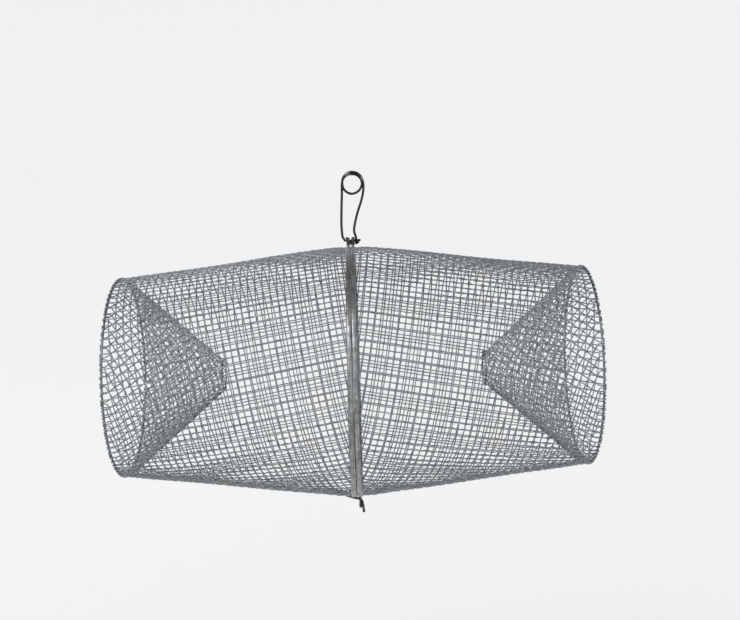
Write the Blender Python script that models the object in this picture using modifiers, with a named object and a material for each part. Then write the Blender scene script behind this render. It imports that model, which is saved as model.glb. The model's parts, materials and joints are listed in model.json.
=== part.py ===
"""Two-piece minnow trap of galvanised wire mesh, hanging from a sprung wire clip.

Each half is a mesh cone with an inward mesh funnel at its small end and a sheet-metal rim at its
large end.  The rims meet at the seam.  A wire hook and loop join them at the bottom, and the pin
of the clip goes through a wire eye on each of them at the top.

+X runs along the trap's axis towards the right half and +Z is up.  The origin is where a line
bears on the coil of the clip.  Lengths are in metres.
"""

import math

import bpy
from mathutils import Vector

COLLECTION = "minnow_trap"

# Whole trap
OVERALL_LENGTH = 0.419
RIM_RADIUS = 0.1143
END_RADIUS = 0.0907
MOUTH_RADIUS = 0.0132
MOUTH_FROM_SEAM = 0.1196
CLEARANCE = 0.0003
SEGMENTS = 64
MOUTH_SEGMENTS = 32
WIRE_SIDES = 8

# Mesh walls: the mesh is two wires thick
MESH_THICKNESS = 0.0012
MESH_LARGE_RADIUS = 0.1129
MESH_SMALL_RADIUS = 0.0900
MESH_EDGE_RADIUS = 0.1124
MESH_SHOULDER = 0.012
SEAM_WIDTH = 0.008
SEAM_THICKNESS = 0.0012
SEAM_OFFSET = 0.00055

# Rings and rims
END_WIRE = 0.0032
MOUTH_WIRE = 0.0016
RIM_SHEET = 0.0006
RIM_DEPTH = 0.0032
RIM_WIDTH = 0.0046
RIM_GAP = 0.0004

# Wire eyes, hook and loop on the rims
EYE_WIRE = 0.0018
EYE_HALF_WIDTH = 0.0029
EYE_HEIGHT = 0.0085
EYE_FLARE = math.radians(15)
LOOP_HEIGHT = 0.0112
LOOP_LEAN = math.radians(-14)
FOOT_LENGTH = 0.005
HOOK_WIRE = 0.0020

# Clip: a coil of one and a half turns with a leg on each side
CLIP_WIRE = 0.0019
COIL_RADIUS = 0.0100
COIL_PITCH = 0.00215
COIL_TURNS = 1.5
COIL_OPEN_ANGLE = math.radians(30)
COIL_STEPS_PER_TURN = 28
COIL_ABOVE_TRAP = 0.1727
COIL_FROM_SEAM = 0.0022
PIN_HEIGHT = 0.1195

# Places that follow from the sizes
LINE_BEARING = COIL_RADIUS - CLIP_WIRE / 2
COIL_CENTRE = Vector((0, 0, -LINE_BEARING))
TRAP_CENTRE = Vector((-COIL_FROM_SEAM, 0, -LINE_BEARING - COIL_ABOVE_TRAP))
PIN_AXIS = TRAP_CENTRE + Vector((0, 0, PIN_HEIGHT))
CATCH_PIVOT = TRAP_CENTRE + Vector((0.0019, 0, -0.1193))
END_RING_FROM_SEAM = OVERALL_LENGTH / 2 - END_WIRE / 2

LEFT, RIGHT = -1, 1
SIDE_NAMES = {LEFT: "left", RIGHT: "right"}


def clear_scene():
    for old in list(bpy.data.objects):
        bpy.data.objects.remove(old, do_unlink=True)


def new_collection(name):
    made = bpy.data.collections.new(name)
    bpy.context.scene.collection.children.link(made)
    return made


def metal(name, colour, roughness, metallic):
    made = bpy.data.materials.new(name)
    made.use_nodes = True
    shader = made.node_tree.nodes["Principled BSDF"]
    shader.inputs["Base Color"].default_value = (*colour, 1)
    shader.inputs["Roughness"].default_value = roughness
    shader.inputs["Metallic"].default_value = metallic
    return made


def axis_empty(name, place):
    """An empty on a joint's axis, for the pieces that turn about it."""
    made = bpy.data.objects.new(name, None)
    made.location = place
    parts.objects.link(made)
    return made


def add_part(name, data, material, parent, place):
    """An object of its own at a world place, carried by its body's empty."""
    data.materials.append(material)
    made = bpy.data.objects.new(name, data)
    made.parent = parent
    made.location = place - parent.location
    parts.objects.link(made)
    return made


def add_turned(name, profile, closed, side, material, parent, segments=SEGMENTS):
    """Turns a profile of (radius, distance from the seam) points about the trap's axis."""
    points = [(radius, 0, distance) for radius, distance in profile]
    edges = [(i, i + 1) for i in range(len(points) - 1)]
    if closed:
        edges.append((len(points) - 1, 0))
    mesh = bpy.data.meshes.new(name)
    mesh.from_pydata(points, edges, [])
    made = add_part(name, mesh, material, parent, TRAP_CENTRE)
    made.rotation_euler.y = side * math.pi / 2
    turn = made.modifiers.new("turn", "SCREW")
    turn.steps = segments
    turn.render_steps = segments
    turn.use_merge_vertices = True
    turn.merge_threshold = 0.00005
    turn.use_smooth_shade = True
    return made


def thicken(made, thickness):
    shell = made.modifiers.new("thickness", "SOLIDIFY")
    shell.thickness = thickness
    shell.offset = 0
    shell.use_even_offset = True


def wire_section(ring_radius, distance, diameter):
    """A round wire's section as a polygon with flats facing along and across the axis."""
    step = 2 * math.pi / WIRE_SIDES
    corner_radius = diameter / 2 / math.cos(step / 2)
    angles = [math.pi / 2 - step * (k + 0.5) for k in range(WIRE_SIDES)]
    return [
        (ring_radius + corner_radius * math.cos(a), distance + corner_radius * math.sin(a))
        for a in angles
    ]


def smooth_path(points, steps):
    """Points along a Catmull-Rom curve through the given points."""
    knots = [Vector(p) for p in points]
    knots = [2 * knots[0] - knots[1], *knots, 2 * knots[-1] - knots[-2]]
    path = []
    for before, start, end, after in zip(knots, knots[1:], knots[2:], knots[3:]):
        for k in range(steps):
            t = k / steps
            path.append(
                0.5
                * (
                    2 * start
                    + (end - before) * t
                    + (2 * before - 5 * start + 4 * end - after) * t**2
                    + (3 * start - before - 3 * end + after) * t**3
                )
            )
    return [*path, knots[-2]]


def add_wire(name, path, diameter, material, parent, place):
    """A round wire along a path given relative to a world place."""
    curve = bpy.data.curves.new(name, "CURVE")
    curve.dimensions = "3D"
    curve.bevel_depth = diameter / 2
    curve.bevel_resolution = 2
    curve.use_fill_caps = True
    curve.render_resolution_u = 0
    spline = curve.splines.new("POLY")
    spline.points.add(len(path) - 1)
    for point, position in zip(spline.points, path):
        point.co = (*position, 1)
    return add_part(name, curve, material, parent, place)


def mesh_radius(distance):
    """Radius of the middle of a half's wall at a distance from the seam."""
    share = (distance - MESH_SHOULDER) / (END_RING_FROM_SEAM - MESH_SHOULDER)
    return MESH_LARGE_RADIUS + (MESH_SMALL_RADIUS - MESH_LARGE_RADIUS) * share


def add_body_mesh(side, parent):
    """Cone wall, drawn in a little where its large edge enters the rim."""
    small_end = END_RING_FROM_SEAM - END_WIRE / 2 - 2 * CLEARANCE
    entry = RIM_GAP + RIM_WIDTH
    inner_edge = RIM_GAP + RIM_SHEET + CLEARANCE
    profile = [
        (mesh_radius(small_end), small_end),
        (mesh_radius(MESH_SHOULDER), MESH_SHOULDER),
        (MESH_EDGE_RADIUS, entry),
        (MESH_EDGE_RADIUS, inner_edge),
    ]
    wall = add_turned(f"{SIDE_NAMES[side]}_body_mesh", profile, False, side, mesh_metal, parent)
    thicken(wall, MESH_THICKNESS)


def funnel_ends():
    """Middle of the funnel's wall at its large and small ends, as (radius, distance)."""
    large = (END_RADIUS - END_WIRE - CLEARANCE, END_RING_FROM_SEAM - END_WIRE / 2 - 0.001)
    small = (MOUTH_RADIUS + MOUTH_WIRE / 2, MOUTH_FROM_SEAM + MOUTH_WIRE / 2 + 0.001)
    return large, small


def add_funnel_mesh(side, parent):
    name = f"{SIDE_NAMES[side]}_funnel_mesh"
    wall = add_turned(name, funnel_ends(), False, side, mesh_metal, parent)
    thicken(wall, MESH_THICKNESS)


def add_end_ring(side, parent):
    section = wire_section(END_RADIUS - END_WIRE / 2, END_RING_FROM_SEAM, END_WIRE)
    add_turned(f"{SIDE_NAMES[side]}_end_ring", section, True, side, ring_metal, parent)


def add_mouth_ring(side, parent):
    section = wire_section(MOUTH_RADIUS + MOUTH_WIRE / 2, MOUTH_FROM_SEAM, MOUTH_WIRE)
    name = f"{SIDE_NAMES[side]}_mouth_ring"
    add_turned(name, section, True, side, ring_metal, parent, MOUTH_SEGMENTS)


def add_centre_rim(side, parent):
    """Sheet-metal channel folded round the large edge of the wall."""
    outer = RIM_RADIUS - RIM_SHEET / 2
    inner = RIM_RADIUS - RIM_DEPTH
    lip = RIM_GAP + RIM_WIDTH
    web = RIM_GAP + RIM_SHEET / 2
    profile = [(outer, lip), (outer, web), (inner, web), (inner, lip)]
    rim = add_turned(f"{SIDE_NAMES[side]}_centre_rim", profile, False, side, rim_metal, parent)
    thicken(rim, RIM_SHEET)


def add_seam(name, side, large, small, offset, parent):
    """Flat lapped strip along the bottom of a cone, between two (radius, distance) points."""
    start = Vector((side * large[1], 0, -large[0]))
    end = Vector((side * small[1], 0, -small[0]))
    along = end - start
    outward = Vector((-along.z, 0, along.x)).normalized()
    if outward.z > 0:
        outward.negate()
    bpy.ops.mesh.primitive_cube_add(size=1, location=(0, 0, 0))
    strip = bpy.context.object
    mesh = strip.data
    bpy.data.objects.remove(strip)
    for vertex in mesh.vertices:
        vertex.co.x *= along.length
        vertex.co.y *= SEAM_WIDTH
        vertex.co.z *= SEAM_THICKNESS
    place = TRAP_CENTRE + (start + end) / 2 + outward * offset
    made = add_part(name, mesh, mesh_metal, parent, place)
    made.rotation_euler.y = math.atan2(-along.z, along.x)


def add_body_seam(side, parent):
    """The lap on the inside of the wall."""
    near_end = END_RING_FROM_SEAM - 0.0045
    near_rim = MESH_SHOULDER
    large = (mesh_radius(near_rim), near_rim)
    small = (mesh_radius(near_end), near_end)
    offset = -(MESH_THICKNESS / 2 + SEAM_OFFSET + SEAM_THICKNESS / 2)
    add_seam(f"{SIDE_NAMES[side]}_body_seam", side, large, small, offset, parent)


def add_funnel_seam(side, parent):
    """The lap on the side of the funnel that faces the body wall."""
    (large_radius, large_at), (small_radius, small_at) = funnel_ends()
    slope = (large_radius - small_radius) / (large_at - small_at)
    large = (large_radius - 0.004 * slope, large_at - 0.004)
    small = (small_radius + 0.002 * slope, small_at + 0.002)
    offset = MESH_THICKNESS / 2 + SEAM_OFFSET + SEAM_THICKNESS / 2
    add_seam(f"{SIDE_NAMES[side]}_funnel_seam", side, large, small, offset, parent)


def staple_path(height, lean, top):
    """A wire staple on a rim: feet along the rim, straight legs and a round end.

    The path is relative to the middle of the rim's outer face, and top is 1 above, -1 below.
    """
    foot_level = EYE_WIRE / 2 + CLEARANCE
    bend = EYE_HEIGHT / 6
    half = []
    for reach in (FOOT_LENGTH, FOOT_LENGTH / 2, bend):
        half.append((EYE_HALF_WIDTH + reach, foot_level - reach**2 / RIM_RADIUS))
    half.append((EYE_HALF_WIDTH + bend / 4, foot_level + bend / 4))
    half.append((EYE_HALF_WIDTH, foot_level + bend))
    crown = height - EYE_WIRE / 2 - EYE_HALF_WIDTH
    for k in range(7):
        angle = math.pi / 2 * k / 6
        across = EYE_HALF_WIDTH * math.cos(angle)
        half.append((across, crown + EYE_HALF_WIDTH * math.sin(angle)))
    other = [(-across, up) for across, up in reversed(half[:-1])]
    path = []
    for across, up in half + other:
        rise = up - foot_level
        path.append((rise * math.sin(lean), across, top * (foot_level + rise * math.cos(lean))))
    return path


def add_clip_eye(side, parent):
    rim_middle = Vector((side * (RIM_GAP + RIM_WIDTH / 2), 0, RIM_RADIUS))
    path = staple_path(EYE_HEIGHT, side * EYE_FLARE, 1)
    name = f"{SIDE_NAMES[side]}_clip_eye"
    add_wire(name, path, EYE_WIRE, dark_metal, parent, TRAP_CENTRE + rim_middle)


def add_bottom_loop(parent):
    """Loop under the right rim that the left half's hook goes through."""
    rim_middle = Vector((RIM_GAP + RIM_WIDTH / 2, 0, -RIM_RADIUS))
    path = staple_path(LOOP_HEIGHT, LOOP_LEAN, -1)
    add_wire("bottom_loop", path, EYE_WIRE, dark_metal, parent, TRAP_CENTRE + rim_middle)


def add_bottom_hook(parent):
    """Wire from under the left rim, through the loop and down."""
    route = [
        (-0.0100, 0, -0.1151),
        (-0.0055, 0, -0.1157),
        (-0.0012, 0, -0.1163),
        (0.0010, 0, -0.1182),
        (0.0028, 0, -0.1204),
        (0.0036, 0, -0.1238),
        (0.0043, 0, -0.1284),
    ]
    add_wire("bottom_hook", smooth_path(route, 3), HOOK_WIRE, dark_metal, parent, TRAP_CENTRE)


def coil_point(turned):
    """A point of the coil's centre line, by the angle turned from where the pin leg joins it."""
    depth = COIL_PITCH * (COIL_TURNS / 2 - turned / (2 * math.pi))
    return Vector(
        (-COIL_RADIUS * math.cos(turned), depth, COIL_RADIUS * math.sin(turned))
    )


def add_clip_wire(parent):
    """Pin, pin leg and coil.  The coil stops short, where it flexes as the latch leg opens."""
    to_coil = TRAP_CENTRE - COIL_CENTRE
    pin_route = [
        (0.0101, 0, PIN_HEIGHT + 0.0004),
        (0.0050, 0, PIN_HEIGHT),
        (-0.0047, 0, PIN_HEIGHT),
        (-0.0064, 0.0001, PIN_HEIGHT + 0.0010),
        (-0.0078, 0.0002, PIN_HEIGHT + 0.0033),
        (-0.0087, 0.0004, PIN_HEIGHT + 0.0072),
        (-0.0093, 0.0008, PIN_HEIGHT + 0.0160),
        (-0.0092, 0.0012, PIN_HEIGHT + 0.0300),
        (-0.0084, 0.0015, PIN_HEIGHT + 0.0440),
    ]
    route = [to_coil + Vector(p) for p in pin_route]
    coil_end = 2 * math.pi * COIL_TURNS - COIL_OPEN_ANGLE
    steps = round(COIL_STEPS_PER_TURN * coil_end / (2 * math.pi))
    coil = [coil_point(coil_end * k / steps) for k in range(steps + 1)]
    path = smooth_path([*route, coil[0]], 4)[:-1] + coil
    add_wire("clip_wire", path, CLIP_WIRE, dark_metal, parent, COIL_CENTRE)


def add_clip_latch_leg(parent):
    """Sprung leg that ends in a hook under the pin, outside the right eye."""
    to_coil = TRAP_CENTRE - COIL_CENTRE
    hook_radius = 0.0023
    hook_x = 0.0073
    leg_route = [
        (0.0119, -0.0017, 0.1660),
        (0.0101, -0.0018, 0.1569),
        (0.0060, -0.0020, 0.1433),
        (0.0030, -0.0022, 0.1310),
        (0.0033, -0.0024, 0.1258),
        (0.0057, -hook_radius, 0.1226),
    ]
    hook = []
    for degrees in (0, 40, 80, 120, 150):
        angle = math.radians(degrees)
        hook.append(
            (
                hook_x,
                -hook_radius * math.cos(angle),
                PIN_HEIGHT - hook_radius * math.sin(angle),
            )
        )
    start = coil_point(2 * math.pi * COIL_TURNS)
    route = [start, *(to_coil + Vector(p) for p in leg_route + hook)]
    add_wire("clip_latch_leg", smooth_path(route, 3), CLIP_WIRE, dark_metal, parent, COIL_CENTRE)


def add_half(side, parent):
    add_body_mesh(side, parent)
    add_body_seam(side, parent)
    add_funnel_mesh(side, parent)
    add_funnel_seam(side, parent)
    add_mouth_ring(side, parent)
    add_end_ring(side, parent)
    add_centre_rim(side, parent)
    add_clip_eye(side, parent)


clear_scene()
parts = new_collection(COLLECTION)
mesh_metal = metal("galvanised_mesh", (0.56, 0.58, 0.59), 0.45, 1.0)
ring_metal = metal("ring_wire", (0.30, 0.31, 0.32), 0.5, 1.0)
rim_metal = metal("galvanised_sheet", (0.50, 0.52, 0.53), 0.4, 1.0)
dark_metal = metal("dark_spring_wire", (0.09, 0.09, 0.09), 0.35, 1.0)

clip_frame = axis_empty("clip_frame", COIL_CENTRE)
swing_axis = axis_empty("trap_swing_axis", PIN_AXIS)
open_axis = axis_empty("halves_open_axis", CATCH_PIVOT)
latch_axis = axis_empty("clip_latch_axis", COIL_CENTRE)

add_clip_wire(clip_frame)
add_clip_latch_leg(latch_axis)
add_half(LEFT, swing_axis)
add_bottom_hook(swing_axis)
add_half(RIGHT, open_axis)
add_bottom_loop(open_axis)
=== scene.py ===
import json
import math

import bpy
import numpy as np
from mathutils import Matrix, Vector


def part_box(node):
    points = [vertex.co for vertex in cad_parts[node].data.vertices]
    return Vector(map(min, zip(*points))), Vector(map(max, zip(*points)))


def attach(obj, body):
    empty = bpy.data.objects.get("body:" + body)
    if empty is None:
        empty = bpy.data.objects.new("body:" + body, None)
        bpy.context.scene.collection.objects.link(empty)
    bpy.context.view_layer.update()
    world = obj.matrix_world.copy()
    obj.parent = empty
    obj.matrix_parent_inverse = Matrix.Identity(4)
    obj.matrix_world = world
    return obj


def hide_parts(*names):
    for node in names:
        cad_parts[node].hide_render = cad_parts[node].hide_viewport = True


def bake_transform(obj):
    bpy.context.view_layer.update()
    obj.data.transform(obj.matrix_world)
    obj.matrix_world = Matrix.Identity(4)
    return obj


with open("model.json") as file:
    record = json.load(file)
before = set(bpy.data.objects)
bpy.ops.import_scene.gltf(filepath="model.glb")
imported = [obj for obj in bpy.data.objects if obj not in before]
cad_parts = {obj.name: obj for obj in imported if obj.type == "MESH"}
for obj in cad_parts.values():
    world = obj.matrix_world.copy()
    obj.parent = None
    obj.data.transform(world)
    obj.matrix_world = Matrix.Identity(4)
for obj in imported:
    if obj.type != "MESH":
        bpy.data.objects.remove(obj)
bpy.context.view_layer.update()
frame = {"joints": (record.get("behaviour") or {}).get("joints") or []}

# A two-piece minnow trap of galvanised wire mesh, in a plain pale studio.  Lengths are in metres.
# A place on a half is given as (radius from the trap's axis, distance from where the halves meet,
# turn), where turn is the angle round the axis from the top, and is positive on the viewer's side.

LEFT, RIGHT = -1, 1
SIDES = {LEFT: "left", RIGHT: "right"}

# Wire mesh: a crimp's reach is in pitches
PITCH = 0.00635
NET_WIRE = 0.00110
SHORTEST_WIRE = 0.0015
EDGE_MATCH = 0.0003
CRIMP = 0.00035
CRIMP_REACH = 0.2
CRIMP_TO_END = 0.0006
PROBE_STEP = 0.0004
PROBE_MARGIN = 0.001
PROBE_HALVINGS = 14

# Lap: how far the net runs past its seam, how long and high the step up to it is, and how far
# round from the bottom each half's lap sits
LAP = 0.0042
LAP_RAMP = 0.018
LAP_STEP = 0.0014
LAP_ROLL = {LEFT: -0.015, RIGHT: -0.035}

# Lacing along a lap: trim is what it stops short of at the near end and the far end
LACING_POINTS = 400
SELVAGE_WIRE = NET_WIRE * 1.15
SELVAGE_SPREAD = 0.9
SELVAGE_LIFT = 0.0004
BODY_LACING = {
    "trim": (0.002, 0.008),
    "half_width": 0.0040,
    "half_depth": 0.0013,
    "turn_length": PITCH,
}
FUNNEL_LACING = {
    "trim": (0.004, 0.004),
    "half_width": 0.0022,
    "half_depth": 0.0012,
    "turn_length": PITCH * 0.8,
}

# Walls: slopes are of the radius against the distance from where the halves meet
BODY_SLOPE = 0.1169
BODY_RADIUS = 0.1129
BODY_RADIUS_AT = 0.012
BODY_SPAN = (0.0018, 0.2071)
FUNNEL_SLOPE = 0.87247
FUNNEL_RADIUS = 0.0140
FUNNEL_RADIUS_AT = 0.1214
FUNNEL_SPAN = (0.1214, 0.2065)
RIM_DIP = 0.0013
RIM_DIP_FROM = 0.016
RIM_DIP_FULL = 0.003

# Dents of a wall: each wave is (share, waves round, radians per metre along, start)
DENT = 0.0007
DENT_FADE = 0.03
DENT_WAVES = ((0.5, 3, 21, 0.7), (0.35, 7, -34, 2.1), (0.25, 2, 55, 4.0))

# Rings are (radius, distance), and a bend is the degrees round a ring that a net wire's end takes
END_WIRE = 0.0019
END_RING = (0.0895, 0.2101)
MOUTH_WIRE = 0.0014
MOUTH_RING = (0.0140, 0.1196)
WALL_END_BEND = (-30, 10, 50, 90, 130)
FUNNEL_END_BEND = (-155, -190, -225, -260, -295)
FUNNEL_MOUTH_BEND = (60, 15, -30, -75, -120, -160)
BEND_LEAD = 0.6
MOST_SLIP = 0.6

# Rims: each lip is (radius, distance) from the flat of the sheet and the rim's far edge
RIM_OUTER = 0.1143
RIM_INNER = 0.1108
RIM_NEAR = 0.0002
RIM_FAR = 0.0044
RIM_MIDDLE = (RIM_NEAR + RIM_FAR) / 2
RIM_SHEET = 0.0006
RIM_FOLD = 0.0005
RIM_FLAT = 0.0019
RIM_OUTER_LIP = ((-0.0004, 0.0), (-0.0001, -0.0006), (0.0, -0.0013))
RIM_INNER_LIP = ((0.0, -0.0013), (0.0003, -0.0004))
RIM_STEPS = 432
RIM_CRIMPS = 36
RIM_CRIMP_DEPTH = 0.00022
RIM_RIPPLE = 0.00008
RIM_LAP_TURN = 0.085
RIM_LAP_EDGE = 0.004
RIM_LAP_LIFT = 0.00035
RIM_OUTER_FROM = 0.1125
RIM_OUTER_FADE = 0.001
RIM_FAR_FROM = 0.0020
RIM_FAR_FADE = 0.002
RIM_UNEVEN = (0.00008, 0.00005)
RIM_WIDTH_UNEVEN = (0.12, 0.04)

# Wire ends are drawn in over a share of their thickness, down to a share of it, and two twisted
# strands stand off their middle by a share of a strand
END_DRAW = 0.35
END_WIDTH = 0.55
TWIST_OFFSET = 0.48

# Dark wire: an eye's wraps are (radius, near end, far end, turns), painted highlights on the coil
# are (offset from the coil's centre, reach), and the latch's hook is (degrees round the pin,
# distance along it)
EYE_STRAND = 0.00120
EYE_GAP = 0.0001
EYE_SHANK = 0.0026
EYE_SHANK_RADIUS = 0.00140
EYE_SHANK_TURNS = 0.75
EYE_LEAN = 0.0005
EYE_FOOT = (0.0072, 0.0048, 0.0026)
EYE_START = 0.0003
EYE_SHIFT = 0.0006
EYE_SPREAD = 1.3
EYE_GROWTH = (0.92, 0.14)
EYE_WRAPS = {
    LEFT: ((0.00200, 0.0006, 0.0036, 3.0), (0.00272, 0.0008, 0.0033, 2.5)),
    RIGHT: ((0.00200, 0.0006, 0.0031, 3.0), (0.00272, 0.0008, 0.0026, 2.5)),
}
LOOP_STRAND = 0.00130
LOOP_TWIST = 0.0040
LOOP_WIRE = 0.0018
LOOP_HALF_WIDTH = 0.0029
LOOP_HEIGHT = 0.0115
LOOP_LEAN = math.radians(1)
FOOT_LENGTH = 0.005
FOOT_BEND = 0.0014
FOOT_GAP = 0.0003
HOOK_STRAND = 0.00140
HOOK_TWIST = 0.0038
CLIP_WIRE = 0.0022
COIL_PITCH = 0.0023
COIL_REACH = (0.0088, 0.0080, 0.0097, 0.0102, 0.0083, 0.0098, 0.0107)
PIN_HEIGHT = 0.1195
LATCH_HOOK_RADIUS = 0.0024
LATCH_HOOK = ((0, 0.0050), (45, 0.0050), (90, 0.0052), (125, 0.0060), (155, 0.0074))
# Painted highlights: lighter spots on the coil's upper left and right, where the key light catches
# it
COIL_PAINTED_HIGHLIGHTS = (((-0.0040, 0, 0.0092), 0.0042), ((0.0108, -0.0012, 0.0040), 0.0032))

# Camera, against the middle of the trap: the lens and the sensor are in millimetres
LENS = 52.15
SENSOR = 36
CAMERA_OFFSET = Vector((0.0123, -0.98500, 0.05529))
CAMERA_ROLL = math.radians(1.607)
CAMERA_YAW = math.radians(0.219)

# Looks: how light each metal is
NET_LEVEL = 0.31
# The funnel's wire is a second copy of the wall's zinc at its own level, set to match how light
# falls on the funnel inside the trap: painted light, not a different coating
FUNNEL_PAINTED_LIGHT_LEVEL = 0.35
LACING_LEVEL = 0.25
RING_LEVEL = 0.20
RIM_LEVEL = 0.29
SPRING_LEVEL = 0.045
TIE_LEVEL = 0.115
DARK_WIRE_TINT = 0.25

# Studio: each light is (place from the trap's middle, size, watts)
PAPER_LEVEL = 0.30
PAPER_GLOW = 0.60
WORLD_STRENGTH = 0.32
KEY_LIGHT = ((-2.2, -4.4, 3.2), (1.3, 1.3), 120)
FILL_LIGHT = ((4.4, -2.8, 1.6), (2.5, 3.0), 25)
BACK_LIGHT = ((-2.6, 4.2, 3.4), (4.0, 2.0), 42)
FLOOR_DROP = 0.45
STAGE_RADIUS = 4.0
STAGE_HEIGHT = 5.0
STAGE_CURVE = 1.5
STAGE_MIDDLE = 1.2
STAGE_AROUND = 96

left_rim_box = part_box("left_centre_rim")
right_rim_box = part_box("right_centre_rim")
TRAP_CENTRE = Vector(
    (
        (left_rim_box[1].x + right_rim_box[0].x) / 2,
        0,
        (left_rim_box[0].z + left_rim_box[1].z) / 2,
    )
)
COIL_CENTRE = Vector(next(j["pos_m"] for j in frame["joints"] if j["name"] == "clip_latch"))


# ---------------------------------------------------------------- wires


def run_along(path):
    """How far along a path each of its points is."""
    steps = np.linalg.norm(np.diff(path, axis=0), axis=1)
    return np.concatenate([[0], np.cumsum(steps)])


def square_to(path, first):
    """Two directions square to a path at each point, carried along it from a first guess."""
    tangent = np.gradient(path, axis=0)
    tangent /= np.linalg.norm(tangent, axis=1)[:, None]
    across = np.empty_like(path)
    carried = first
    for k, direction in enumerate(tangent):
        carried = carried - direction * np.dot(carried, direction)
        carried = carried / np.linalg.norm(carried)
        across[k] = carried
    return across, np.cross(tangent, across)


def wire_shell(path, thickness, sides=6):
    """Corners and faces of a round wire along a path."""
    path = np.asarray(path, float)
    across, up = square_to(path, np.eye(3)[np.argmin(np.abs(path[1] - path[0]))])
    angles = np.arange(sides) * 2 * math.pi / sides
    half = np.broadcast_to(np.asarray(thickness, float) / 2, len(path))[:, None, None]
    round_it = (
        np.cos(angles)[None, :, None] * across[:, None, :]
        + np.sin(angles)[None, :, None] * up[:, None, :]
    )
    corners = (path[:, None, :] + half * round_it).reshape(-1, 3)
    ring = np.arange(sides)
    turned = (ring + 1) % sides
    faces = []
    for k in range(len(path) - 1):
        low, high = k * sides, (k + 1) * sides
        faces.extend(zip(low + ring, low + turned, high + turned, high + ring))
    faces.append(tuple(ring[::-1]))
    faces.append(tuple(ring + (len(path) - 1) * sides))
    return corners, faces


def rounded_ends(path, thickness):
    """A wire's thickness along its path, drawn in at both cut ends."""
    run = run_along(path)
    to_end = np.minimum(run, run[-1] - run)
    share = np.clip(to_end / (thickness * END_DRAW), 0, 1)
    return thickness * (END_WIDTH + (1 - END_WIDTH) * np.sqrt(1 - (1 - share) ** 2))


def dense_ends(path, thickness):
    """The same path with extra points close to its ends, where it is drawn in."""
    path = np.asarray(path, float)
    shares = np.array([0, 0.06, 0.16, 0.32]) * thickness
    first = path[1] - path[0]
    last = path[-2] - path[-1]
    head = [path[0] + first / np.linalg.norm(first) * s for s in shares]
    tail = [path[-1] + last / np.linalg.norm(last) * s for s in shares]
    return np.array([*head, *path[1:-1], *tail[::-1]])


def cut_wire_shell(path, thickness, sides=16):
    """A wire with its cut ends slightly rounded."""
    path = dense_ends(path, thickness)
    return wire_shell(path, rounded_ends(path, thickness), sides)


def join_shells(name, shells, material):
    """One smooth object of several closed shells."""
    corners, faces, base = [], [], 0
    for shell_corners, shell_faces in shells:
        corners.append(shell_corners)
        faces.extend([tuple(int(i) + base for i in face) for face in shell_faces])
        base += len(shell_corners)
    mesh = bpy.data.meshes.new(name)
    mesh.from_pydata(np.concatenate(corners).tolist(), [], faces)
    mesh.validate()
    for polygon in mesh.polygons:
        polygon.use_smooth = len(polygon.vertices) == 4
    mesh.materials.append(material)
    made = bpy.data.objects.new(name, mesh)
    bpy.context.scene.collection.objects.link(made)
    return made


def smooth_path(points, steps):
    """Points along a Catmull-Rom curve through the given points."""
    knots = [Vector(p) for p in points]
    knots = [2 * knots[0] - knots[1], *knots, 2 * knots[-1] - knots[-2]]
    path = []
    for before, start, end, after in zip(knots, knots[1:], knots[2:], knots[3:]):
        for k in range(steps):
            t = k / steps
            path.append(
                0.5
                * (
                    2 * start
                    + (end - before) * t
                    + (2 * before - 5 * start + 4 * end - after) * t**2
                    + (3 * start - before - 3 * end + after) * t**3
                )
            )
    return [*path, knots[-2]]


def twisted_shells(path, strand, turn_length):
    """Two strands wound round each other along a path."""
    path = np.asarray(path, float)
    start = path[1] - path[0]
    starts_along_y = abs(start[1]) > 0.9 * np.linalg.norm(start)
    across, up = square_to(path, np.eye(3)[0 if starts_along_y else 1])
    shells = []
    for phase in (0, math.pi):
        angle = run_along(path) / turn_length * 2 * math.pi + phase
        outward = np.cos(angle)[:, None] * across + np.sin(angle)[:, None] * up
        shells.append(cut_wire_shell(path + strand * TWIST_OFFSET * outward, strand, 10))
    return shells


def on_half(side, radius, distance, turn):
    """Points in the trap's frame from places on a half."""
    return np.stack(
        [
            TRAP_CENTRE.x + side * distance,
            TRAP_CENTRE.y - radius * np.sin(turn),
            TRAP_CENTRE.z + radius * np.cos(turn),
        ],
        axis=-1,
    )


# ---------------------------------------------------------------- wire mesh cones


def eased(share):
    """0 to 1 with a gentle start and end."""
    return share * share * (3 - 2 * share)


class Cone:
    """A wall cut from a flat net and rolled up, with its lap at the bottom.

    The flat net has its origin at the cone's tip, and slant is a point's distance from there.
    opens is 1 for a cone that widens away from the rims and -1 for one that widens towards them.
    """

    def __init__(self, slope, radius, radius_at, span, opens, lap_outward):
        angle = math.atan(slope)
        self.sine = math.sin(angle)
        self.cosine = math.cos(angle)
        self.opens = opens
        self.tip = radius_at - opens * radius / slope
        self.lap_outward = lap_outward
        self.near, self.far = sorted(abs(self.tip - d) / self.cosine for d in span)

    def holds(self, across, along):
        """Whether points of the flat net are on the piece that was cut out of it."""
        slant = np.hypot(across, along)
        limit = math.pi * self.sine + LAP / np.maximum(slant, 1e-6)
        turn = np.abs(np.arctan2(across, along))
        return (slant >= self.near) & (slant <= self.far) & (turn <= limit)

    def place(self, across, along, lift):
        """(radius, distance, turn) of points of the flat net, standing off the wall by lift."""
        slant = np.hypot(across, along)
        turn = np.arctan2(across, along) / self.sine
        radius = slant * self.sine
        distance = self.tip + self.opens * slant * self.cosine
        past_seam = (turn - math.pi) * radius
        ramp = np.clip((past_seam + LAP_RAMP) / LAP_RAMP, 0, 1)
        lift = lift + self.lap_outward * LAP_STEP * eased(ramp)
        radius = radius + lift * self.cosine
        distance = distance - self.opens * lift * self.sine
        if self.opens < 0:
            dip = np.clip((RIM_DIP_FROM - distance) / (RIM_DIP_FROM - RIM_DIP_FULL), 0, 1)
            radius = radius - RIM_DIP * eased(dip) + dents(distance, turn)
        return radius, distance, turn


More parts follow.
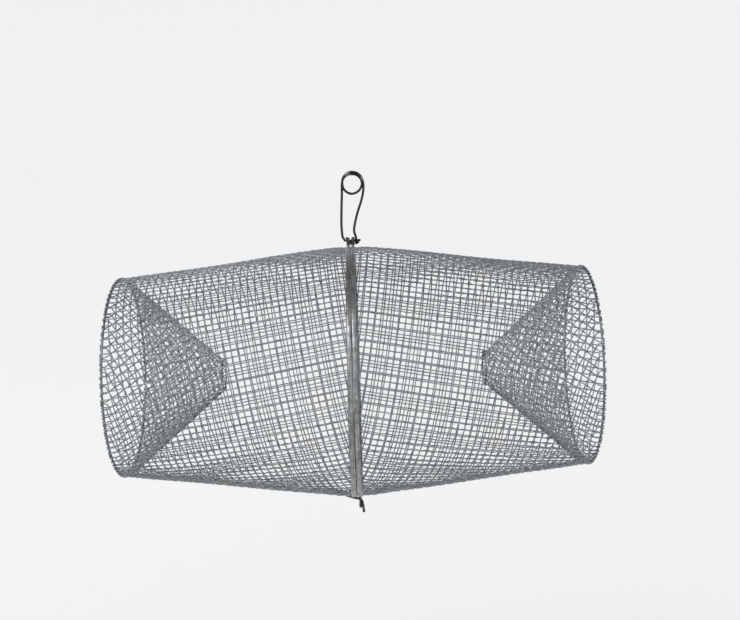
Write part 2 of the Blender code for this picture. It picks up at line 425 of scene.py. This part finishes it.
def dents(distance, turn):
    """The slight unevenness of a hand-rolled wall, none at its ends."""
    to_end = np.minimum(distance, BODY_SPAN[1] - distance)
    wave = 0
    for share, round_it, along_it, start in DENT_WAVES:
        wave = wave + share * np.sin(round_it * turn + along_it * distance + start)
    return DENT * np.clip(to_end / DENT_FADE, 0, 1) * wave


BODY = Cone(BODY_SLOPE, BODY_RADIUS, BODY_RADIUS_AT, BODY_SPAN, opens=-1, lap_outward=-1)
FUNNEL = Cone(
    FUNNEL_SLOPE, FUNNEL_RADIUS, FUNNEL_RADIUS_AT, FUNNEL_SPAN, opens=1, lap_outward=1
)


def straight(fixed, lengthwise, run):
    """Flat-net points of one wire: lengthwise wires run along, the others across."""
    run = np.asarray(run, float)
    still = np.full_like(run, fixed)
    return (still, run) if lengthwise else (run, still)


def wire_runs(cone, fixed, lengthwise):
    """The stretches of one wire of the flat net that lie on the cone."""
    furthest = cone.far + PROBE_MARGIN
    probe = np.arange(-furthest, furthest, PROBE_STEP)
    inside = cone.holds(*straight(fixed, lengthwise, probe))
    edges = np.flatnonzero(np.diff(inside.astype(int)))
    found = []
    for k in edges:
        low, high = probe[k], probe[k + 1]
        for _ in range(PROBE_HALVINGS):
            middle = (low + high) / 2
            same = bool(cone.holds(*straight(fixed, lengthwise, middle))) == inside[k]
            low, high = (middle, high) if same else (low, middle)
        found.append((low + high) / 2)
    return [(a, b) for a, b in zip(found[::2], found[1::2]) if b - a > SHORTEST_WIRE]


def hooked(places, ring, reach, bend):
    """The places of a wire, and then those of its last end bent round a ring."""
    radius, distance, turn = places
    travel = math.hypot(radius[-1] - radius[-2], distance[-1] - distance[-2])
    slip = (turn[-1] - turn[-2]) * radius[-1] / max(travel, 1e-6)
    slip = max(-MOST_SLIP, min(MOST_SLIP, slip))
    angles = np.radians(bend)
    run = reach * np.abs(angles - angles[0]) + reach * BEND_LEAD
    added = (
        ring[0] + reach * np.cos(angles),
        ring[1] + reach * np.sin(angles),
        turn[-1] + slip * run / radius[-1],
    )
    return [np.concatenate(pair) for pair in zip(places, added)]


def net_wire(cone, side, fixed, lengthwise, index, run, hooks):
    """One woven wire, crimped over and under the wires it crosses."""
    start, end = run
    first = math.ceil(start / PITCH - 0.5) - 1
    last = math.floor(end / PITCH - 0.5) + 1
    stations, lifts = [start], [0.0]
    for k in range(first, last + 1):
        level = CRIMP if (k + index + lengthwise) % 2 else -CRIMP
        for reach in (-CRIMP_REACH, CRIMP_REACH):
            station = (k + 0.5 + reach) * PITCH
            if start + CRIMP_TO_END < station < end - CRIMP_TO_END:
                stations.append(station)
                lifts.append(level)
    stations.append(end)
    lifts.append(0.0)
    across, along = straight(fixed, lengthwise, stations)
    places = cone.place(across, along, np.array(lifts))
    for end_index, order in ((0, -1), (-1, 1)):
        slant = math.hypot(across[end_index], along[end_index])
        for limit, hook in hooks:
            if abs(slant - limit) < EDGE_MATCH:
                places = hooked([values[::order] for values in places], *hook)
                places = [values[::order] for values in places]
    radius, distance, turn = places
    return wire_shell(on_half(side, radius, distance, turn + LAP_ROLL[side]), NET_WIRE)


def net_shells(cone, side, hooks):
    """All the wires of a cone, woven both ways.

    Each of hooks is the slant of an edge, and the ring, reach and bend of the wires that end there.
    """
    shells = []
    count = math.ceil(cone.far / PITCH) + 1
    for lengthwise in (True, False):
        for index in range(-count, count):
            fixed = (index + 0.5) * PITCH
            for run in wire_runs(cone, fixed, lengthwise):
                shells.append(net_wire(cone, side, fixed, lengthwise, index, run, hooks))
    return shells


def lacing_shells(cone, side, trim, half_width, half_depth, turn_length):
    """Selvage wires and two crossed lacing wires along the lap at the bottom of a cone."""
    shells = []
    slants = np.linspace(cone.near + trim[0], cone.far - trim[1], LACING_POINTS)
    selvage = slants[::4]
    length = slants[-1] - slants[0]
    middle = cone.lap_outward * LAP_STEP / 2
    flat_turn = math.pi * cone.sine
    for sign in (-1, 1):
        turn = flat_turn + sign * half_width * SELVAGE_SPREAD / selvage
        lift = middle + sign * SELVAGE_LIFT
        shells.append(lap_wire(cone, side, selvage, turn, lift, SELVAGE_WIRE))
    for sign in (-1, 1):
        angle = 2 * math.pi * np.linspace(0, length / turn_length, len(slants)) * sign
        turn = flat_turn + half_width * np.cos(angle) / slants
        lift = middle + half_depth * np.sin(angle)
        shells.append(lap_wire(cone, side, slants, turn, lift, NET_WIRE))
    return shells


def lap_wire(cone, side, slant, flat_turn, lift, thickness):
    """A wire of the lap, which is level with the wall's two layers and so isn't stepped."""
    radius = slant * cone.sine + lift * cone.cosine
    distance = cone.tip + cone.opens * (slant * cone.cosine - lift * cone.sine)
    turn = flat_turn / cone.sine + LAP_ROLL[side]
    return wire_shell(on_half(side, radius, distance, turn), thickness)


# ---------------------------------------------------------------- rings and rims


def turned_shell(side, radius, distance):
    """A closed section turned about the trap's axis: radius and distance are (round, section)."""
    around, corners = radius.shape
    turn = np.linspace(0, 2 * math.pi, around, endpoint=False)[:, None]
    points = on_half(side, radius, distance, np.broadcast_to(turn, radius.shape)).reshape(-1, 3)
    faces = []
    for k in range(around):
        for c in range(corners):
            after = (k + 1) % around
            beside = (c + 1) % corners
            face = (
                k * corners + c,
                k * corners + beside,
                after * corners + beside,
                after * corners + c,
            )
            faces.append(face if side > 0 else face[::-1])
    return points, faces


def ring_shell(side, ring, thickness, around, sides, uneven):
    """A hoop of round wire, slightly uneven in thickness and in radius."""
    turn = np.linspace(0, 2 * math.pi, around, endpoint=False)[:, None]
    angle = np.linspace(0, 2 * math.pi, sides, endpoint=False)[None, :]
    swell = 1 + uneven * np.sin(9 * turn + 3 * angle) + uneven * np.sin(23 * turn - 2 * angle)
    shift = thickness * uneven * 1.5 * np.sin(5 * turn + 1.3)
    radius = ring[0] + shift + thickness / 2 * swell * np.cos(angle)
    distance = ring[1] - thickness / 2 * swell * np.sin(angle)
    return turned_shell(side, radius, distance)


def rim_section():
    """Outline of the folded sheet as (radius, distance), with rounded folds and a turned lip."""
    mid_outer = RIM_OUTER - RIM_SHEET / 2
    mid_inner = RIM_INNER + RIM_SHEET / 2
    mid_near = RIM_NEAR + RIM_SHEET / 2
    bend = [math.pi / 2 * k / 4 for k in range(5)]
    short = [RIM_FOLD - RIM_FOLD * math.sin(angle) for angle in bend]
    long = [RIM_FOLD - RIM_FOLD * math.cos(angle) for angle in bend]
    path = [(mid_outer + lip[0], RIM_FAR + lip[1]) for lip in RIM_OUTER_LIP]
    path.append((mid_outer, mid_near + RIM_FLAT))
    path += [(mid_outer - inset, mid_near + rise) for inset, rise in zip(long, short)]
    path += [(mid_inner + inset, mid_near + rise) for inset, rise in zip(short, long)]
    path += [(mid_inner + lip[0], RIM_FAR + lip[1]) for lip in RIM_INNER_LIP]
    path = np.array(path)
    step = np.gradient(path, axis=0)
    step /= np.linalg.norm(step, axis=1)[:, None]
    normal = np.stack([-step[:, 1], step[:, 0]], axis=1)
    one = path + normal * RIM_SHEET / 2
    other = path - normal * RIM_SHEET / 2
    return np.concatenate([one, other[::-1]])


def rim_shell(side):
    """The rim, pressed down on the mesh at short spaces and lapped at the bottom."""
    section = rim_section()
    turn = np.linspace(0, 2 * math.pi, RIM_STEPS, endpoint=False)[:, None]
    radius = np.broadcast_to(section[:, 0], (RIM_STEPS, len(section))).copy()
    distance = np.broadcast_to(section[:, 1], (RIM_STEPS, len(section)))
    outer = np.clip((radius - RIM_OUTER_FROM) / RIM_OUTER_FADE, 0, 1)
    far = np.clip((distance - RIM_FAR_FROM) / RIM_FAR_FADE, 0, 1)
    crimps = np.clip(np.cos(RIM_CRIMPS * turn), 0, 1) ** 6
    ripple = 0.5 + 0.5 * np.cos(turn * 2 * math.pi * RIM_OUTER / PITCH)
    radius -= outer * far * (RIM_CRIMP_DEPTH * crimps + RIM_RIPPLE * ripple)
    radius += RIM_UNEVEN[0] * np.sin(4 * turn + side)
    radius += RIM_UNEVEN[1] * np.sin(11 * turn + 2)
    lap = 0.5 - 0.5 * np.tanh((np.abs(turn - math.pi) - RIM_LAP_TURN) / RIM_LAP_EDGE)
    radius += RIM_LAP_LIFT * outer * lap
    width = 1 - RIM_WIDTH_UNEVEN[0] * np.cos(turn)
    width = width + RIM_WIDTH_UNEVEN[1] * np.sin(3 * turn - side)
    distance = RIM_NEAR + (distance - RIM_NEAR) * width
    return turned_shell(side, radius, distance)


# ---------------------------------------------------------------- ties, hook and clip


def loop_path():
    """The loop under the right rim: feet along the rim, straight legs and a round end."""
    foot_level = LOOP_WIRE / 2 + FOOT_GAP
    half = []
    for reach in (FOOT_LENGTH, FOOT_LENGTH / 2, FOOT_BEND):
        half.append((LOOP_HALF_WIDTH + reach, foot_level - reach**2 / RIM_OUTER))
    half.append((LOOP_HALF_WIDTH + FOOT_BEND / 4, foot_level + FOOT_BEND / 4))
    half.append((LOOP_HALF_WIDTH, foot_level + FOOT_BEND))
    crown = LOOP_HEIGHT - LOOP_WIRE / 2 - LOOP_HALF_WIDTH
    for k in range(7):
        angle = math.pi / 2 * k / 6
        half.append(
            (LOOP_HALF_WIDTH * math.cos(angle), crown + LOOP_HALF_WIDTH * math.sin(angle))
        )
    other = [(-across, down) for across, down in reversed(half[:-1])]
    path = []
    for across, down in half + other:
        drop = down - foot_level
        path.append((drop * math.sin(LOOP_LEAN), across, -foot_level - drop * math.cos(LOOP_LEAN)))
    return path


def placed(path, place):
    """A path moved to its place."""
    return [Vector(p) + place for p in path]


def loop_shells():
    """The catch's twisted wire loop."""
    middle = TRAP_CENTRE + Vector((RIM_MIDDLE, 0, -RIM_OUTER))
    return twisted_shells(smooth_path(placed(loop_path(), middle), 5), LOOP_STRAND, LOOP_TWIST)


def eye_strand(side, foot, wrap):
    """One strand of an eye: a foot along the rim, a twisted shank, and turns round the pin."""
    radius, near, far, turns = wrap
    level = RIM_OUTER + EYE_STRAND / 2 + EYE_GAP
    path = []
    for reach in EYE_FOOT:
        path.append((RIM_MIDDLE, foot * reach, level - reach**2 / (2 * RIM_OUTER)))
    for k in range(13):
        share = k / 12
        angle = 2 * math.pi * EYE_SHANK_TURNS * share + (0 if foot > 0 else math.pi)
        path.append(
            (
                RIM_MIDDLE - EYE_SHANK_RADIUS * math.sin(angle) - EYE_SHIFT * share,
                EYE_SHANK_RADIUS * math.cos(angle) * (EYE_SPREAD + (1 - EYE_SPREAD) * share),
                level + EYE_START + (EYE_SHANK - EYE_START) * share,
            )
        )
    steps = round(turns * 16)
    for k in range(1, steps + 1):
        share = k / steps
        angle = -math.pi / 2 + foot * 2 * math.pi * turns * share
        grown = radius * (EYE_GROWTH[0] + EYE_GROWTH[1] * share)
        path.append(
            (
                near + (far - near) * share + EYE_LEAN * math.sin(angle),
                grown * math.cos(angle),
                PIN_HEIGHT + grown * math.sin(angle),
            )
        )
    return [Vector((side * x, y, z)) + TRAP_CENTRE for x, y, z in path]


def eye_shells(side):
    """Two strands twisted up from the rim and wound round the pin, one over the other."""
    shells = []
    for foot, wrap in zip((1, -1), EYE_WRAPS[side]):
        path = smooth_path(eye_strand(side, foot, wrap), 3)
        shells.append(cut_wire_shell(path, EYE_STRAND, 10))
    return shells


def hook_shells():
    """The catch's twisted wire hook, from the left rim through the loop and down."""
    route = [
        (-0.0106, 0, -0.1141),
        (-0.0074, 0, -0.1152),
        (-0.0030, 0, -0.1166),
        (0.0003, 0, -0.1173),
        (0.0024, 0, -0.1181),
        (0.0036, 0, -0.1196),
        (0.0043, 0, -0.1220),
        (0.0049, 0, -0.1256),
        (0.0054, 0, -0.1300),
    ]
    return twisted_shells(placed(smooth_path(route, 8), TRAP_CENTRE), HOOK_STRAND, HOOK_TWIST)


def coil_point(turned):
    """A point of the coil's centre line, by the angle turned from where the pin leg joins it."""
    quarters = np.arange(len(COIL_REACH)) * math.pi / 2
    reach = float(np.interp(turned, quarters, COIL_REACH))
    depth = COIL_PITCH * (quarters[-1] / 2 - turned) / (2 * math.pi)
    return COIL_CENTRE + Vector((-reach * math.cos(turned), depth, reach * math.sin(turned)))


def pin_leg_path():
    """The clip's fixed leg, from the pin's tip through both eyes and up to the coil."""
    route = [
        (0.0093, 0, PIN_HEIGHT + 0.0005),
        (0.0050, 0, PIN_HEIGHT),
        (-0.0042, 0, PIN_HEIGHT + 0.0001),
        (-0.0057, 0.0001, PIN_HEIGHT + 0.0014),
        (-0.0068, 0.0002, PIN_HEIGHT + 0.0028),
        (-0.0074, 0.0003, PIN_HEIGHT + 0.0049),
        (-0.0080, 0.0008, PIN_HEIGHT + 0.0150),
        (-0.0075, 0.0012, PIN_HEIGHT + 0.0300),
        (-0.0068, 0.0015, PIN_HEIGHT + 0.0440),
    ]
    return smooth_path([*placed(route, TRAP_CENTRE), coil_point(0)], 8)


def latch_path():
    """The coil, the leg that springs from it and the hook that rests round the pin."""
    leg = [
        (0.0131, -0.0017, 0.1694),
        (0.0130, -0.0017, 0.1655),
        (0.0112, -0.0018, 0.1569),
        (0.0066, -0.0020, 0.1433),
        (0.0037, -0.0024, 0.1310),
        (0.0039, -0.0029, 0.1262),
        (0.0050, -0.0032, 0.1228),
    ]
    hook = []
    for degrees, reach in LATCH_HOOK:
        forward = LATCH_HOOK_RADIUS * math.cos(math.radians(degrees))
        down = LATCH_HOOK_RADIUS * math.sin(math.radians(degrees))
        hook.append((reach, -forward, PIN_HEIGHT - down))
    last = (len(COIL_REACH) - 1) * math.pi / 2
    coil = [coil_point(last * k / 18) for k in range(19)]
    return smooth_path([*coil, *placed(leg + hook, TRAP_CENTRE)], 6)


# ---------------------------------------------------------------- materials


class Nodes:
    """Short ways to add and join the nodes of one material."""

    def __init__(self, name):
        self.material = bpy.data.materials.new(name)
        self.material.use_nodes = True
        self.tree = self.material.node_tree
        self.shader = self.tree.nodes["Principled BSDF"]
        self.place = self.tree.nodes.new("ShaderNodeTexCoord").outputs["Object"]

    def link(self, source, target):
        self.tree.links.new(source, target)

    def noise(self, scale, detail=3.0, stretch=None):
        made = self.tree.nodes.new("ShaderNodeTexNoise")
        made.inputs["Scale"].default_value = scale
        made.inputs["Detail"].default_value = detail
        self.link(self.stretched(stretch), made.inputs["Vector"])
        return made.outputs["Fac"]

    def stretched(self, stretch):
        if stretch is None:
            return self.place
        mapping = self.tree.nodes.new("ShaderNodeMapping")
        mapping.inputs["Scale"].default_value = stretch
        self.link(self.place, mapping.inputs["Vector"])
        return mapping.outputs["Vector"]

    def cells(self, scale):
        """A level from 0 to 1 for each cell of a broken-up pattern."""
        made = self.tree.nodes.new("ShaderNodeTexVoronoi")
        made.inputs["Scale"].default_value = scale
        self.link(self.place, made.inputs["Vector"])
        split = self.tree.nodes.new("ShaderNodeSeparateColor")
        self.link(made.outputs["Color"], split.inputs["Color"])
        return split.outputs["Red"]

    def ramp(self, source, *stops):
        made = self.tree.nodes.new("ShaderNodeValToRGB")
        band = made.color_ramp
        while len(band.elements) < len(stops):
            band.elements.new(0.5)
        for element, (position, colour) in zip(band.elements, stops):
            element.position = position
            element.color = (*colour, 1)
        self.link(source, made.inputs["Fac"])
        return made.outputs["Color"]

    def mix(self, amount, first, second, mode="MIX"):
        made = self.tree.nodes.new("ShaderNodeMix")
        made.data_type = "RGBA"
        made.blend_type = mode
        if isinstance(amount, float):
            made.inputs["Factor"].default_value = amount
        else:
            self.link(amount, made.inputs["Factor"])
        self.link(first, made.inputs["A"])
        self.link(second, made.inputs["B"])
        return made.outputs["Result"]

    def spread(self, source, low, high):
        """The middle of a noise, stretched to run from low to high."""
        made = self.tree.nodes.new("ShaderNodeMapRange")
        made.inputs["From Min"].default_value = 0.3
        made.inputs["From Max"].default_value = 0.7
        made.inputs["To Min"].default_value = low
        made.inputs["To Max"].default_value = high
        self.link(source, made.inputs["Value"])
        return made.outputs["Result"]

    def near(self, point, reach):
        """1 close to a point, fading to 0 at a distance of reach."""
        away = self.tree.nodes.new("ShaderNodeVectorMath")
        away.operation = "DISTANCE"
        away.inputs[1].default_value = point
        self.link(self.place, away.inputs[0])
        made = self.tree.nodes.new("ShaderNodeMapRange")
        made.inputs["From Min"].default_value = reach * 0.4
        made.inputs["From Max"].default_value = reach
        made.inputs["To Min"].default_value = 1.0
        made.inputs["To Max"].default_value = 0.0
        self.link(away.outputs["Value"], made.inputs["Value"])
        return made.outputs["Result"]

    def above_rim(self, start, end):
        """0 to 1 with height beyond the rims' outer face, above and below the trap."""
        split = self.tree.nodes.new("ShaderNodeSeparateXYZ")
        self.link(self.place, split.inputs["Vector"])
        height = split.outputs["Z"]
        for operation, value in (
            ("SUBTRACT", TRAP_CENTRE.z),
            ("ABSOLUTE", 0.0),
            ("SUBTRACT", RIM_OUTER + start),
            ("DIVIDE", end - start),
        ):
            made = self.tree.nodes.new("ShaderNodeMath")
            made.operation = operation
            made.inputs[1].default_value = value
            self.link(height, made.inputs[0])
            height = made.outputs["Value"]
        made.use_clamp = True
        return height

    def finish_metal(self, colour, roughness, height, strength, depth):
        """Set the shader's inputs, with bumps of a strength and a depth, and give the material."""
        self.link(colour, self.shader.inputs["Base Color"])
        self.link(roughness, self.shader.inputs["Roughness"])
        self.shader.inputs["Metallic"].default_value = 1.0
        bump = self.tree.nodes.new("ShaderNodeBump")
        bump.inputs["Strength"].default_value = strength
        bump.inputs["Distance"].default_value = depth
        self.link(height, bump.inputs["Height"])
        self.link(bump.outputs["Normal"], self.shader.inputs["Normal"])
        return self.material


def grey(level, warmth=0.0):
    """A grey that leans to brown with positive warmth and to blue with negative."""
    return (level * (1 + warmth), level * (1 + warmth * 0.15), level * (1 - warmth * 0.5))


def zinc_wire(name, level):
    """Hot-dipped wire: mottled bluish grey with a few warmer stains."""
    nodes = Nodes(name)
    mottle = nodes.ramp(
        nodes.noise(260.0, 4.0),
        (0.30, grey(level * 0.62, -0.08)),
        (0.52, grey(level, -0.09)),
        (0.72, grey(level * 1.45, -0.08)),
    )
    stains = nodes.ramp(nodes.noise(38.0, 2.0), (0.60, (0, 0, 0)), (0.74, (1, 1, 1)))
    stain_colour = nodes.ramp(
        nodes.noise(500.0), (0.3, grey(level * 0.7, 0.10)), (0.7, grey(level * 1.1, 0.16))
    )
    half_stained = nodes.mix(0.45, mottle, stain_colour)
    colour = nodes.mix(stains, mottle, half_stained)
    roughness = nodes.spread(nodes.noise(420.0), 0.30, 0.55)
    return nodes.finish_metal(colour, roughness, nodes.noise(1900.0, 4.0), 0.35, 0.0002)


def zinc_sheet(name, level):
    """Galvanised sheet: spangle, lines drawn round the rim, and scuffs."""
    nodes = Nodes(name)
    spangle = nodes.ramp(
        nodes.cells(300.0),
        (0.0, grey(level * 0.78, -0.04)),
        (0.5, grey(level, -0.03)),
        (1.0, grey(level * 1.28, -0.02)),
    )
    drawn = nodes.ramp(
        nodes.noise(55.0, 3.0, (22.0, 1.0, 1.0)), (0.35, grey(0.62)), (0.65, grey(1.18))
    )
    colour = nodes.mix(1.0, spangle, drawn, "MULTIPLY")
    scuff = nodes.noise(520.0, 4.0, (9.0, 1.0, 1.0))
    roughness = nodes.spread(scuff, 0.26, 0.50)
    return nodes.finish_metal(colour, roughness, scuff, 0.25, 0.00015)


def dark_wire(name, level, rust, shine, zinc_near_rim=False, painted_highlights=()):
    """Oil-dark spring wire or weathered tie wire, with rusty patches and painted highlights: light
    grey spots standing in for where the light catches the coil.
    """
    nodes = Nodes(name)
    base = nodes.ramp(
        nodes.noise(340.0, 4.0),
        (0.32, grey(level * 0.55, 0.05)),
        (0.55, grey(level, 0.07)),
        (0.75, grey(level * 2.0, 0.03)),
    )
    patches = nodes.ramp(nodes.noise(190.0, 5.0), (0.52, (0, 0, 0)), (0.66, (rust, rust, rust)))
    rusty = nodes.ramp(
        nodes.noise(900.0), (0.3, (0.060, 0.036, 0.020)), (0.7, (0.125, 0.080, 0.048))
    )
    colour = nodes.mix(patches, base, rusty)
    if zinc_near_rim:
        zinc = nodes.ramp(nodes.noise(300.0), (0.3, grey(0.14)), (0.7, grey(0.30, -0.03)))
        colour = nodes.mix(nodes.above_rim(0.0012, 0.0042), zinc, colour)
    # Painted highlight: a lighter grey laid on the coil near given points, standing in for the
    # light's glint
    painted_highlight_colour = nodes.ramp(nodes.noise(700.0, 3.0), (0.3, grey(0.20)), (0.7, grey(0.36)))
    for spot, size in painted_highlights:
        colour = nodes.mix(nodes.near(COIL_CENTRE + Vector(spot), size), colour, painted_highlight_colour)
    roughness = nodes.spread(nodes.noise(600.0), shine, shine + 0.25)
    nodes.shader.inputs["Specular Tint"].default_value = (*grey(DARK_WIRE_TINT), 1)
    return nodes.finish_metal(colour, roughness, nodes.noise(2300.0, 5.0), 0.4, 0.00025)


# ---------------------------------------------------------------- stage and camera


def stage_material():
    made = bpy.data.materials.new("pale_paper")
    made.use_nodes = True
    shader = made.node_tree.nodes["Principled BSDF"]
    shader.inputs["Base Color"].default_value = (*grey(PAPER_LEVEL), 1)
    shader.inputs["Roughness"].default_value = 0.9
    shader.inputs["Emission Color"].default_value = (0.98, 0.99, 1.0, 1)
    shader.inputs["Emission Strength"].default_value = PAPER_GLOW
    return made


def add_stage():
    """A round paper floor that curves up into a wall on every side."""
    floor = TRAP_CENTRE.z - FLOOR_DROP
    flat = STAGE_RADIUS - STAGE_CURVE
    profile = [(STAGE_MIDDLE, floor), (flat, floor)]
    for k in range(1, 13):
        angle = math.pi / 2 * k / 12
        rise = STAGE_CURVE - STAGE_CURVE * math.cos(angle)
        profile.append((flat + STAGE_CURVE * math.sin(angle), floor + rise))
    profile.append((STAGE_RADIUS, floor + STAGE_HEIGHT))
    corners = [(0, 0, floor)]
    for radius, level in profile:
        for k in range(STAGE_AROUND):
            angle = 2 * math.pi * k / STAGE_AROUND
            corners.append((radius * math.cos(angle), radius * math.sin(angle), level))
    faces = [(0, 1 + k, 1 + (k + 1) % STAGE_AROUND) for k in range(STAGE_AROUND)]
    for ring in range(len(profile) - 1):
        low, high = 1 + ring * STAGE_AROUND, 1 + (ring + 1) * STAGE_AROUND
        for k in range(STAGE_AROUND):
            after = (k + 1) % STAGE_AROUND
            faces.append((low + k, high + k, high + after, low + after))
    mesh = bpy.data.meshes.new("paper_floor")
    mesh.from_pydata(corners, [], faces)
    for polygon in mesh.polygons:
        polygon.use_smooth = True
    mesh.materials.append(stage_material())
    floor_object = bpy.data.objects.new("paper_floor", mesh)
    bpy.context.scene.collection.objects.link(floor_object)
    floor_object.visible_shadow = False


def add_softbox(name, place, size, watts):
    """A rectangular light turned to the trap's middle."""
    lamp = bpy.data.lights.new(name, "AREA")
    lamp.shape = "RECTANGLE"
    lamp.size, lamp.size_y = size
    lamp.energy = watts
    made = bpy.data.objects.new(name, lamp)
    made.location = TRAP_CENTRE + Vector(place)
    made.rotation_euler = (-Vector(place)).to_track_quat("-Z", "Y").to_euler()
    bpy.context.scene.collection.objects.link(made)


def add_lights():
    add_softbox("key_light", *KEY_LIGHT)
    add_softbox("fill_light", *FILL_LIGHT)
    add_softbox("back_light", *BACK_LIGHT)
    world = bpy.data.worlds.new("studio")
    world.use_nodes = True
    background = world.node_tree.nodes["Background"]
    background.inputs["Color"].default_value = (0.97, 0.98, 1.0, 1)
    background.inputs["Strength"].default_value = WORLD_STRENGTH
    bpy.context.scene.world = world


def add_camera():
    data = bpy.data.cameras.new("camera")
    data.lens = LENS
    data.sensor_width = SENSOR
    camera = bpy.data.objects.new("camera", data)
    right = Vector((math.cos(CAMERA_ROLL), 0, -math.sin(CAMERA_ROLL)))
    up = Vector((math.sin(CAMERA_ROLL), 0, math.cos(CAMERA_ROLL)))
    back = Vector((0, -1, 0))
    aim = Matrix.Rotation(-CAMERA_YAW, 4, "Z") @ Matrix((right, up, back)).transposed().to_4x4()
    camera.matrix_world = Matrix.Translation(TRAP_CENTRE + CAMERA_OFFSET) @ aim
    bpy.context.scene.collection.objects.link(camera)
    bpy.context.scene.camera = camera


# ---------------------------------------------------------------- the trap


def add_piece(name, shells, material, body, slot, *nodes):
    """A piece that rides on one body and stands for nodes of the CAD."""
    piece = join_shells(name, shells, material)
    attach(piece, body)
    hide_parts(*nodes)


def add_nets(side):
    """A half's wall and funnel, woven and then laced along their laps."""
    name = SIDES[side]
    body = f"{name}_half"
    end_reach = (END_WIRE + NET_WIRE) / 2
    mouth_reach = (MOUTH_WIRE + NET_WIRE) / 2
    wall_hooks = [(BODY.near, (END_RING, end_reach, WALL_END_BEND))]
    funnel_hooks = [
        (FUNNEL.far, (END_RING, end_reach, FUNNEL_END_BEND)),
        (FUNNEL.near, (MOUTH_RING, mouth_reach, FUNNEL_MOUTH_BEND)),
    ]
    wall = net_shells(BODY, side, wall_hooks)
    funnel = net_shells(FUNNEL, side, funnel_hooks)
    wall_lacing = lacing_shells(BODY, side, **BODY_LACING)
    funnel_lacing = lacing_shells(FUNNEL, side, **FUNNEL_LACING)
    for piece, shells, material, node in (
        ("net_wall", wall, net_zinc, "body_mesh"),
        ("net_funnel", funnel, funnel_painted_light_zinc, "funnel_mesh"),
        ("wall_lacing", wall_lacing, lacing_zinc, "body_seam"),
        ("funnel_lacing", funnel_lacing, lacing_zinc, "funnel_seam"),
    ):
        piece_name = f"{name}_{piece}"
        add_piece(piece_name, shells, material, body, "galvanised_mesh", f"{name}_{node}")


def add_rings(side):
    """A half's hoops, rim and eye."""
    name = SIDES[side]
    body = f"{name}_half"
    end_hoop = ring_shell(side, END_RING, END_WIRE, around=256, sides=16, uneven=0.008)
    mouth_hoop = ring_shell(side, MOUTH_RING, MOUTH_WIRE, around=96, sides=12, uneven=0.01)
    for piece, shells, material, slot, node in (
        ("end_hoop", [end_hoop], ring_zinc, "ring_wire", "end_ring"),
        ("mouth_hoop", [mouth_hoop], ring_zinc, "ring_wire", "mouth_ring"),
        ("rim_channel", [rim_shell(side)], rim_zinc, "galvanised_sheet", "centre_rim"),
        ("wound_eye", eye_shells(side), tie, "tie_wire", "clip_eye"),
    ):
        add_piece(f"{name}_{piece}", shells, material, body, slot, f"{name}_{node}")


def add_clip():
    """The clip's fixed leg, and its coil and latch leg, which reaches from one body to the other.
    """
    pin_leg = cut_wire_shell(pin_leg_path(), CLIP_WIRE)
    add_piece("pin_leg", [pin_leg], spring, "clip", "clip_wire", "clip_wire")
    latch_leg = cut_wire_shell(latch_path(), CLIP_WIRE)
    latch = join_shells("coil_and_latch_leg", [latch_leg], spring)
    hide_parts("clip_latch_leg")
    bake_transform(latch)


net_zinc = zinc_wire("net_zinc", NET_LEVEL)
# Painted light: the funnel's copy of the wall's zinc, at a level set for the light inside the trap
funnel_painted_light_zinc = zinc_wire("funnel_painted_light_zinc", FUNNEL_PAINTED_LIGHT_LEVEL)
lacing_zinc = zinc_wire("lacing_zinc", LACING_LEVEL)
ring_zinc = zinc_wire("ring_zinc", RING_LEVEL)
rim_zinc = zinc_sheet("rim_zinc", RIM_LEVEL)
# The spring wire's coil carries painted highlights
spring = dark_wire("dark_spring_wire", SPRING_LEVEL, rust=0.10, shine=0.14, painted_highlights=COIL_PAINTED_HIGHLIGHTS)
tie = dark_wire("weathered_tie_wire", TIE_LEVEL, rust=0.20, shine=0.34, zinc_near_rim=True)

add_camera()
for half in (LEFT, RIGHT):
    add_nets(half)
    add_rings(half)
add_piece("twisted_loop", loop_shells(), tie, "right_half", "tie_wire", "bottom_loop")
add_piece("wire_hook", hook_shells(), tie, "left_half", "tie_wire", "bottom_hook")
add_clip()
add_stage()
add_lights()
bpy.context.scene.view_settings.view_transform = "Standard"
